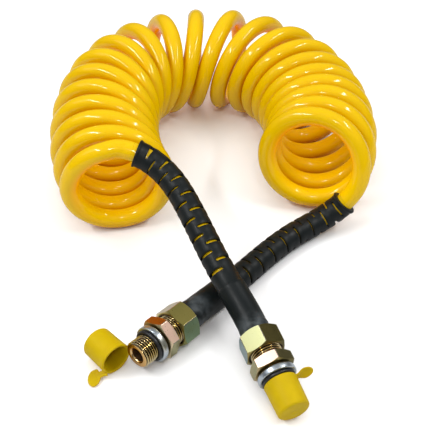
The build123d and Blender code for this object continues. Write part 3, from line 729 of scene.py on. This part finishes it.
SLOTS_A = [(7.4 + 5.8 * i, float(np.interp(7.4 + 5.8 * i, (7, 32, 55, 90), (90, 104, 113, 119) if i % 2 == 0 else (8, 24, 25, 28))), 52.0, 1.7) for i in range(16)]
SLOTS_B = [(5.6 + 6.15 * i, (142.0 if i % 2 == 0 else 56.0), 52.0, 1.6) for i in range(16)]
sleeve_a = sleeve("slotted_sleeve_a", lead_a, A_MOUTH, SLEEVE_LEN_A - 0.3, SLOTS_A)
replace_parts(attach(sleeve_a, "lead_a"), "bend_sleeve_a")
sleeve_b = sleeve("slotted_sleeve_b", lead_b, B_MOUTH, SLEEVE_LEN_B - 0.3, SLOTS_B)
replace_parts(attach(sleeve_b, "lead_b"), "bend_sleeve_b")

# ------------------------------------------------------------------ fittings
HALF_AF, HEX_R = 11.0, 22.0 / math.sqrt(3)
FR_A, FR_B = fit_frame(FIT_A, DIR_A), fit_frame(FIT_B, DIR_B)
LAND = HEX_R - 0.12
EDGE_OFF = math.degrees(math.pi / 6 - math.acos(HALF_AF / LAND))
SECTOR = [0.0, EDGE_OFF, EDGE_OFF + 0.7, 4.0, 8.0, 13.0, 19.0, 25.0, 30.0, 35.0, 41.0, 47.0, 52.0, 56.0, 60.0 - EDGE_OFF - 0.7, 60.0 - EDGE_OFF]


def hex_angles(corner):
    return np.radians(np.array([corner + 60.0 * k + a for k in range(6) for a in SECTOR]))


def hex_radius(phi, corner):
    off = np.mod(np.degrees(phi) - corner, 60.0) - 30.0
    return np.minimum(HALF_AF / np.cos(np.radians(off)), LAND)


def land_faces(phis, m, lo, hi, loop, index=1):
    """Material index per quad: the narrow lands on the corners of a hexagon between two profile rows."""
    n = len(phis)
    fm = np.zeros((m if loop else m - 1, n), int)
    per = len(SECTOR)
    for i in range(n):
        if i % per in (0, per - 1):
            fm[lo:hi, i] = index
    return fm


def thread(t, phi, crest, root, pitch):
    """Radius of a right-hand 60 degree thread with a flat crest and a rounded root."""
    x = np.mod(t / pitch + phi / (2 * np.pi), 1.0)
    v = np.abs(2 * x - 1)
    q = np.clip((v - 0.16) / (0.86 - 0.16), 0, 1)
    return root + (crest - root) * (q + 0.06 * np.sin(np.pi * q))


def nut(name, fr, corner, mats):
    ch = (HEX_R - HALF_AF + 0.1) * math.tan(math.radians(30))
    phis = hex_angles(corner)
    R = hex_radius(phis, corner)
    tc = (R - HALF_AF + 0.1) / (HEX_R - HALF_AF + 0.1) * ch
    L = 12.4
    pts = [(0.0, 6.25), (0.0, 6.45), (0.0, 10.2), (0.0, HALF_AF - 0.22), (0.06, HALF_AF - 0.08), (tc + 0.02, R), (tc + 0.25, R), (L / 2, R), (L - tc - 0.25, R), (L - tc - 0.02, R),
           (L - 0.06, HALF_AF - 0.08), (L, HALF_AF - 0.22), (L, 10.15), (L - 0.12, 10.02), (L - 0.9, 9.15), (L - 1.1, 9.06), (8.0, 9.06), (3.7, 9.06), (3.6, 8.9), (3.6, 6.3)]
    m = len(pts)

    def prof(_phi):
        return rows(*pts)

    def fm(t, r):
        f = land_faces(phis, m, 5, 9, True)
        f[13:] = 2
        return f.ravel()
    ob = lathe(name, fr, prof, phis, mats, sharp=33, face_mat=fm)
    return ob


def fitting_body(name, fr, corner, mats):
    phis = hex_angles(corner)
    R = hex_radius(phis, corner)
    hch = (HEX_R - HALF_AF + 0.1) * math.tan(math.radians(30)) * 0.8
    tc = (R - HALF_AF + 0.1) / (HEX_R - HALF_AF + 0.1) * hch
    h0, h1 = 17.0, 23.6
    pts = [(6.6, 7.68), (6.6, 8.1)]
    thread_rows = [len(pts) - 1]
    for t in np.arange(6.75, 15.5, 0.075):
        cut = min(8.2 + (t - 6.6), 9.0, 9.0 if t < 14.9 else 9.0 - (t - 14.9) * 1.4)
        pts.append((t, np.minimum(thread(t, phis, 9.0, 8.12, 1.5), cut)))
    thread_rows.append(len(pts))
    pts += [(15.6, 8.15), (16.7, 8.15), (16.95, 8.3), (17.0, 8.6)]
    hex_lo = len(pts) + 2
    pts += [(h0, HALF_AF - 0.22), (h0 + 0.05, HALF_AF - 0.08), (h0 + tc + 0.02, R), (h0 + tc + 0.22, R), ((h0 + h1) / 2, R), (h1 - tc - 0.22, R), (h1 - tc - 0.02, R)]
    hex_hi = len(pts) - 1
    pts += [(h1 - 0.05, HALF_AF - 0.08), (h1, HALF_AF - 0.22), (h1, 7.3), (h1 + 0.1, 7.05), (24.8, 7.05), (24.86, 7.5), (24.9, 7.6), (30.85, 7.6), (30.95, 7.45)]
    thr_lo = len(pts)
    for t in np.arange(31.05, 39.5, 0.065):
        cut = min(7.3 + max(0.0, t - 31.0) * 1.2, 8.0, 8.0 - max(0.0, t - 38.75))
        pts.append((t, np.minimum(thread(t, phis, 8.0, 6.98, 1.5), cut)))
    thread_rows += [thr_lo, len(pts)]
    pts += [(39.55, 7.02), (39.6, 6.9)]
    thr_hi = len(pts)
    pts += [(39.6, 5.0), (39.5, 4.85), (38.9, 4.32), (38.7, 4.25)]
    bore_lo = len(pts) - 1
    pts += [(30.0, 4.25), (16.9, 4.25), (16.8, 4.35), (16.8, 5.95), (16.7, 6.05), (11.1, 6.05), (9.0, 6.80)]
    m = len(pts)

    def prof(_phi):
        return rows(*pts)

    def fm(t, r):
        f = land_faces(phis, m, hex_lo, hex_hi, True)
        f[:hex_lo - 3] = 2
        f[hex_hi + 3:bore_lo] = 2
        f[thr_hi - 3:bore_lo] = 4
        f[bore_lo:] = 3
        return f.ravel()
    ob = lathe(name, fr, prof, phis, mats, sharp=33, face_mat=fm)
    tt, rr = rows(*pts)
    # groove: depth in the thread, which the zinc material turns into painted shade in the roots
    groove = np.zeros((m, len(phis)))
    for (lo, hi), crest in ((thread_rows[:2], 9.0), (thread_rows[2:], 8.0)):
        groove[lo + 2:hi - 1] = np.clip((crest - rr[lo + 2:hi - 1]) / 0.9, 0, 1)
    ob.data.attributes.new("groove", "FLOAT", "POINT").data.foreach_set("value", groove.astype(np.float32).ravel())
    ends = np.zeros(len(ob.data.edges) * 2, np.int32)
    ob.data.edges.foreach_get("vertices", ends)
    row_of = ends.reshape(-1, 2) // len(phis)
    flag = ob.data.attributes.get("sharp_edge")
    if flag is not None:
        sharp_now = np.zeros(len(ob.data.edges), bool)
        flag.data.foreach_get("value", sharp_now)
        for lo, hi in (thread_rows[:2], thread_rows[2:]):
            sharp_now &= ~np.all((row_of >= lo) & (row_of < hi), axis=1)
        flag.data.foreach_set("value", sharp_now)
    return ob


CIRCLE = np.arange(96) * 2 * np.pi / 96


def backing_ring(name, fr):
    pts = [(24.95, 7.66), (24.95, 9.3), (25.02, 9.75)] + arc(26.25, 9.72, 1.28, 178, 92, 9) + [(26.3, 11.0), (28.15, 11.0), (28.38, 10.93), (28.55, 10.78), (28.66, 10.55), (28.7, 10.2),
           (28.7, 9.9), (28.62, 9.82), (28.62, 7.9), (28.6, 7.66), (26.8, 7.66)]
    ob = lathe(name, fr, lambda phi: rows(*pts), CIRCLE, [M_RING], sharp=38)
    return ob


def o_ring(name, fr):
    pts = [(29.72 + 1.0 * math.cos(a), 8.63 + 1.0 * math.sin(a)) for a in np.arange(28) * 2 * math.pi / 28]
    ob = lathe(name, fr, lambda phi: rows(*pts), CIRCLE, [M_ORING], sharp=60)
    return ob


nut_a = nut("nut_visual_a", FR_A, 24.8, [M_NUT_A, M_EDGE_GLINT, M_BODY_A])
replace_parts(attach(nut_a, "nut_a"), "union_nut_a")
nut_b = nut("nut_visual_b", FR_B, 16.1, [M_NUT_B, M_EDGE_GLINT, M_BODY_B])
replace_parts(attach(nut_b, "nut_b"), "union_nut_b")
body_a = fitting_body("body_visual_a", FR_A, 35.6, [M_BODY_A, M_EDGE_GLINT, M_THREAD, M_BORE, M_FACE])
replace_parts(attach(body_a, "lead_a"), "fitting_body_a")
body_b = fitting_body("body_visual_b", FR_B, 38.7, [M_BODY_B, M_EDGE_GLINT, M_THREAD, M_BORE, M_FACE])
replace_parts(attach(body_b, "lead_b"), "fitting_body_b")
for side, fr in (("a", FR_A), ("b", FR_B)):
    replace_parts(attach(backing_ring("ring_visual_" + side, fr), "lead_" + side), "backing_ring_" + side)
    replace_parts(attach(o_ring("o_ring_visual_" + side, fr), "lead_" + side), "o_ring_" + side)


# ------------------------------------------------------------------ dust caps
def cap_cup(name, fr):
    """Tapered cup with rounded rims, opening at t 0, closed end at 18.6."""
    pts = [(17.28, 1.5), (17.28, 6.9)] + arc(16.7, 7.45, 0.6, 10, 85, 5) + [(15.0, 8.07), (8.0, 8.07), (1.2, 8.08), (0.5, 8.16), (0.12, 8.34)]
    pts += [(0.0, 8.6), (0.0, 9.2), (0.10, 9.44), (0.35, 9.58), (0.75, 9.60), (1.15, 9.57), (1.45, 9.47), (6.0, 9.36), (12.0, 9.22), (16.6, 9.12)]
    pts += arc(17.05, 7.62, 1.48, 84, 8, 12) + [(18.58, 7.55), (18.6, 7.2), (18.6, 3.0), (18.55, 1.9), (18.42, 1.55), (18.40, 0.9)]
    return lathe(name, fr, lambda phi: rows(*pts), CIRCLE, [M_CAP], sharp=45, poles=(17.28, 18.40))


def cap_tab(name, pts, wide, length_pad=9.4, half_pad=3.3, half_neck=1.5, half_thick=0.62):
    """Thin neck and oval spoon along a curved strip; pts run from inside the rim to the tip, wide is the width direction at each."""
    line = Curve(np.array(pts), 0.2)
    knots = line.knots_s
    total = line.length
    s0 = total - length_pad
    ss = np.concatenate([np.linspace(0.0, s0 + 0.9, 12)[:-1], s0 + length_pad / 2 - length_pad / 2 * np.cos(np.linspace(0.62, math.pi - 0.03, 26))])
    P, T, _, _, _ = line.at(ss)
    if np.ndim(wide) == 1:      # a flat strip: wide is the normal of its plane
        W = unit(np.cross(np.array(wide), T))
    else:
        W = np.stack([np.interp(ss, knots, np.array(wide)[:, j]) for j in range(3)], 1)
        W = unit(W - np.sum(W * T, 1, keepdims=True) * T)
    N = np.cross(T, W)
    n = 24
    th = np.arange(n) * 2 * np.pi / n
    c, sn = np.cos(th), np.sin(th)
    x = (ss - (s0 + length_pad / 2)) / (length_pad / 2)
    pad = half_pad * np.sqrt(np.clip(1 - x ** 2, 0, 1))
    half = np.maximum(pad, np.where(x < 0, half_neck + 0.5 * np.exp(-ss / 1.2), 0.15))
    thick = half_thick * np.where(x > 0.6, np.sqrt(np.clip(1 - ((x - 0.6) / 0.42) ** 2, 0.05, 1)), 1.0)
    w = half[:, None] * (np.sign(c) * np.abs(c) ** 0.8)[None]
    h = thick[:, None] * (np.sign(sn) * np.abs(sn) ** 0.6)[None]
    dish = -0.55 * (np.clip(1 - x ** 2, 0, 1) * (pad > half_neck))[:, None] * (1 - (w / np.maximum(half[:, None], 1e-6)) ** 2)
    rings = P[:, None] + w[..., None] * W[:, None] + (h + dish)[..., None] * N[:, None]
    m = len(rings)
    ends = [rings[0].mean(0), rings[-1].mean(0)]
    verts = np.concatenate([rings.reshape(-1, 3), ends])
    i = np.arange(n)
    i2 = (i + 1) % n
    tris = np.concatenate([np.stack([np.full(n, m * n), i2, i], 1), np.stack([np.full(n, m * n + 1), (m - 1) * n + i, (m - 1) * n + i2], 1)])
    return put(name, verts, ring_quads(m, n, False), tris, mats=[M_CAP], sharp=60, uv=ring_uv(ss * 0.001, np.arange(n + 1) * 0.001, False))


def joined(base, other):
    """Union of two closed meshes into the first one; the second one is removed."""
    want = len(base.data.vertices) + 0.3 * len(other.data.vertices)
    for solver in ("MANIFOLD", "EXACT"):
        cut = base.modifiers.new("join", "BOOLEAN")
        cut.operation, cut.solver, cut.object = "UNION", solver, other
        dg = bpy.context.evaluated_depsgraph_get()
        me = bpy.data.meshes.new_from_object(base.evaluated_get(dg), preserve_all_data_layers=True, depsgraph=dg)
        base.modifiers.clear()
        if len(me.vertices) > want:
            base.data = me
            break
    bpy.data.objects.remove(other)


def dust_cap(name, fr, strips, body, node):
    cup = cap_cup(name, fr)
    for i, (pts, wide, pad) in enumerate(strips):
        joined(cup, cap_tab("%s_tab_%d" % (name, i), pts, wide, *pad))
    me = cup.data
    me.polygons.foreach_set("use_smooth", np.ones(len(me.polygons), bool))
    me.set_sharp_from_angle(angle=math.radians(45))
    while len(me.materials) > 1:
        me.materials.pop()
    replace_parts(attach(cup, body), node)
    return cup


RIM_A = (FR_A[0] + FR_A[1] * 31.05, *FR_A[1:])
out_a = unit(-0.97 * RIM_A[2] + 0.20 * RIM_A[3])
wide_a = np.cross(RIM_A[1], out_a)
base_a = RIM_A[0] + RIM_A[1] * 0.72
lift_a = np.array((-0.376, 0.607, 0.70))
dust_cap("cap_visual_a", RIM_A, [([base_a + out_a * 8.85, base_a + out_a * 11.0, base_a + out_a * 13.6 + UP * 0.1, base_a + out_a * 16.3 + UP * 0.35, base_a + out_a * 18.8 + UP * 0.9],
         [wide_a, unit(wide_a + 0.25 * lift_a)] + [unit(wide_a + 0.9 * lift_a)] * 3, (9.4, 3.4, 2.2))], "cap_a", "dust_cap_a")
CAP_B_DIR = -unit((0.680, -0.733, 0.0))
xb = unit(np.cross(CAP_B_DIR, UP))
RIM_B = (np.array((-33.1, -266.1, 9.68)) + SHIFT, CAP_B_DIR, xb, np.cross(xb, CAP_B_DIR))
flat_b = unit(np.array((-0.10, -0.42, 0.90)))
dust_cap("cap_visual_b", RIM_B, [([(-58.6, -137.7, 4.25), (-60.5, -137.9, 3.68), (-62.5, -138.4, 3.0), (-64.6, -139.1, 2.37)], flat_b, (2.4, 1.75, 1.75, 0.51)),
         ([(-64.5, -135.2, 3.35), (-65.2, -137.6, 2.75), (-65.6, -140.2, 2.2), (-65.6, -142.8, 1.7), (-65.4, -145.4, 1.3)], flat_b, (10.35, 3.6, 0.3))], "cap_b", "dust_cap_b")

# ------------------------------------------------------------------ hidden metal parts keep their CAD shape
for node, mat in (("cutting_ring_a", M_STEEL), ("cutting_ring_b", M_STEEL), ("tube_insert_a", M_BRASS), ("tube_insert_b", M_BRASS)):
    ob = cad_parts[node]
    if len(ob.material_slots) == 0:
        ob.data.materials.append(mat)
    for s in ob.material_slots:
        s.material = mat

# ------------------------------------------------------------------ studio
floor_mat = Mat("floor_pale")
fn = floor_mat.noise(floor_mat.obj, 3.0, 3)
lp = floor_mat.node("ShaderNodeLightPath")
floor_mat.set(Base_Color=floor_mat.mix(lp.outputs["Is Glossy Ray"], floor_mat.ramp(fn, [(0.3, (0.86, 0.86, 0.86)), (0.7, (0.88, 0.88, 0.88))]), (0.42, 0.42, 0.42)), Roughness=0.6, Specular_IOR_Level=0.15)
fme = bpy.data.meshes.new("floor")
fme.from_pydata([(-3, -3, -0.00005), (3, -3, -0.00005), (3, 3, -0.00005), (-3, 3, -0.00005)], [], [(0, 1, 2, 3)])
fme.materials.append(floor_mat.m)
floor = bpy.data.objects.new("floor", fme)
bpy.context.scene.collection.objects.link(floor)

world = bpy.data.worlds.new("studio")
bpy.context.scene.world = world
world.use_nodes = True
wt = world.node_tree
bg = wt.nodes.get("Background") or wt.nodes.new("ShaderNodeBackground")
wc = wt.nodes.new("ShaderNodeTexCoord")
ws = wt.nodes.new("ShaderNodeSeparateXYZ")
wr = wt.nodes.new("ShaderNodeValToRGB")
wt.links.new(wc.outputs["Generated"], ws.inputs[0])
wt.links.new(ws.outputs["Z"], wr.inputs[0])
wr.color_ramp.elements[0].position, wr.color_ramp.elements[0].color = 0.02, (0.16, 0.16, 0.17, 1)
wr.color_ramp.elements[1].position, wr.color_ramp.elements[1].color = 0.75, (1.0, 1.0, 1.0, 1)
e = wr.color_ramp.elements.new(0.25)
e.color = (0.42, 0.42, 0.43, 1)
wt.links.new(wr.outputs[0], bg.inputs["Color"])
wp = wt.nodes.new("ShaderNodeLightPath")
wm = wt.nodes.new("ShaderNodeMapRange")
wt.links.new(wp.outputs["Is Glossy Ray"], wm.inputs["Value"])
wm.inputs["To Min"].default_value, wm.inputs["To Max"].default_value = 0.85, 0.34
wt.links.new(wm.outputs[0], bg.inputs["Strength"])


def area(name, loc, target, sx, sy, power, spin=0.0, colour=(1, 1, 1)):
    li = bpy.data.lights.new(name, "AREA")
    li.shape, li.size, li.size_y, li.energy, li.color = "RECTANGLE", sx, sy, power, colour
    ob = bpy.data.objects.new(name, li)
    d = Vector(target) - Vector(loc)
    ob.rotation_mode = "QUATERNION"
    q = d.to_track_quat("-Z", "Y")
    ob.rotation_quaternion = q @ Vector((0, 0, 1)).rotation_difference(Vector((0, 0, 1)))
    ob.location = loc
    if spin:
        from mathutils import Quaternion
        ob.rotation_quaternion = q @ Quaternion((0, 0, 1), math.radians(spin))
    bpy.context.scene.collection.objects.link(ob)
    return ob


area("strip_left", (-0.55, -0.25, 0.80), (0.0, 0.0, 0.03), 0.55, 0.06, 4.0)
area("strip_right", (0.60, -0.10, 0.85), (0.0, 0.0, 0.03), 0.55, 0.06, 3.8)
area("spot_front", (0.05, -0.75, 0.95), (0.0, 0.0, 0.03), 0.10, 0.10, 1.6)
area("soft_top", (0.0, 0.10, 1.5), (0.0, 0.0, 0.0), 1.3, 1.3, 7.5).visible_glossy = False
area("panel_left", (-1.0, 0.10, 0.85), (0.0, -0.1, 0.02), 0.55, 0.55, 1.1)

cam = bpy.data.cameras.new("camera")
cam.lens, cam.sensor_width, cam.sensor_fit = 77.86, 36.0, "HORIZONTAL"
cam.clip_start, cam.clip_end = 0.01, 20.0
cam_ob = bpy.data.objects.new("camera", cam)
cam_ob.location = (0.00110, -0.46858, 0.40718)
cam_ob.rotation_euler = (math.radians(90.0 - 41.012), 0.0, 0.0)
bpy.context.scene.collection.objects.link(cam_ob)
bpy.context.scene.camera = cam_ob
bpy.context.scene.view_settings.view_transform = "Standard"

bpy.context.view_layer.update()
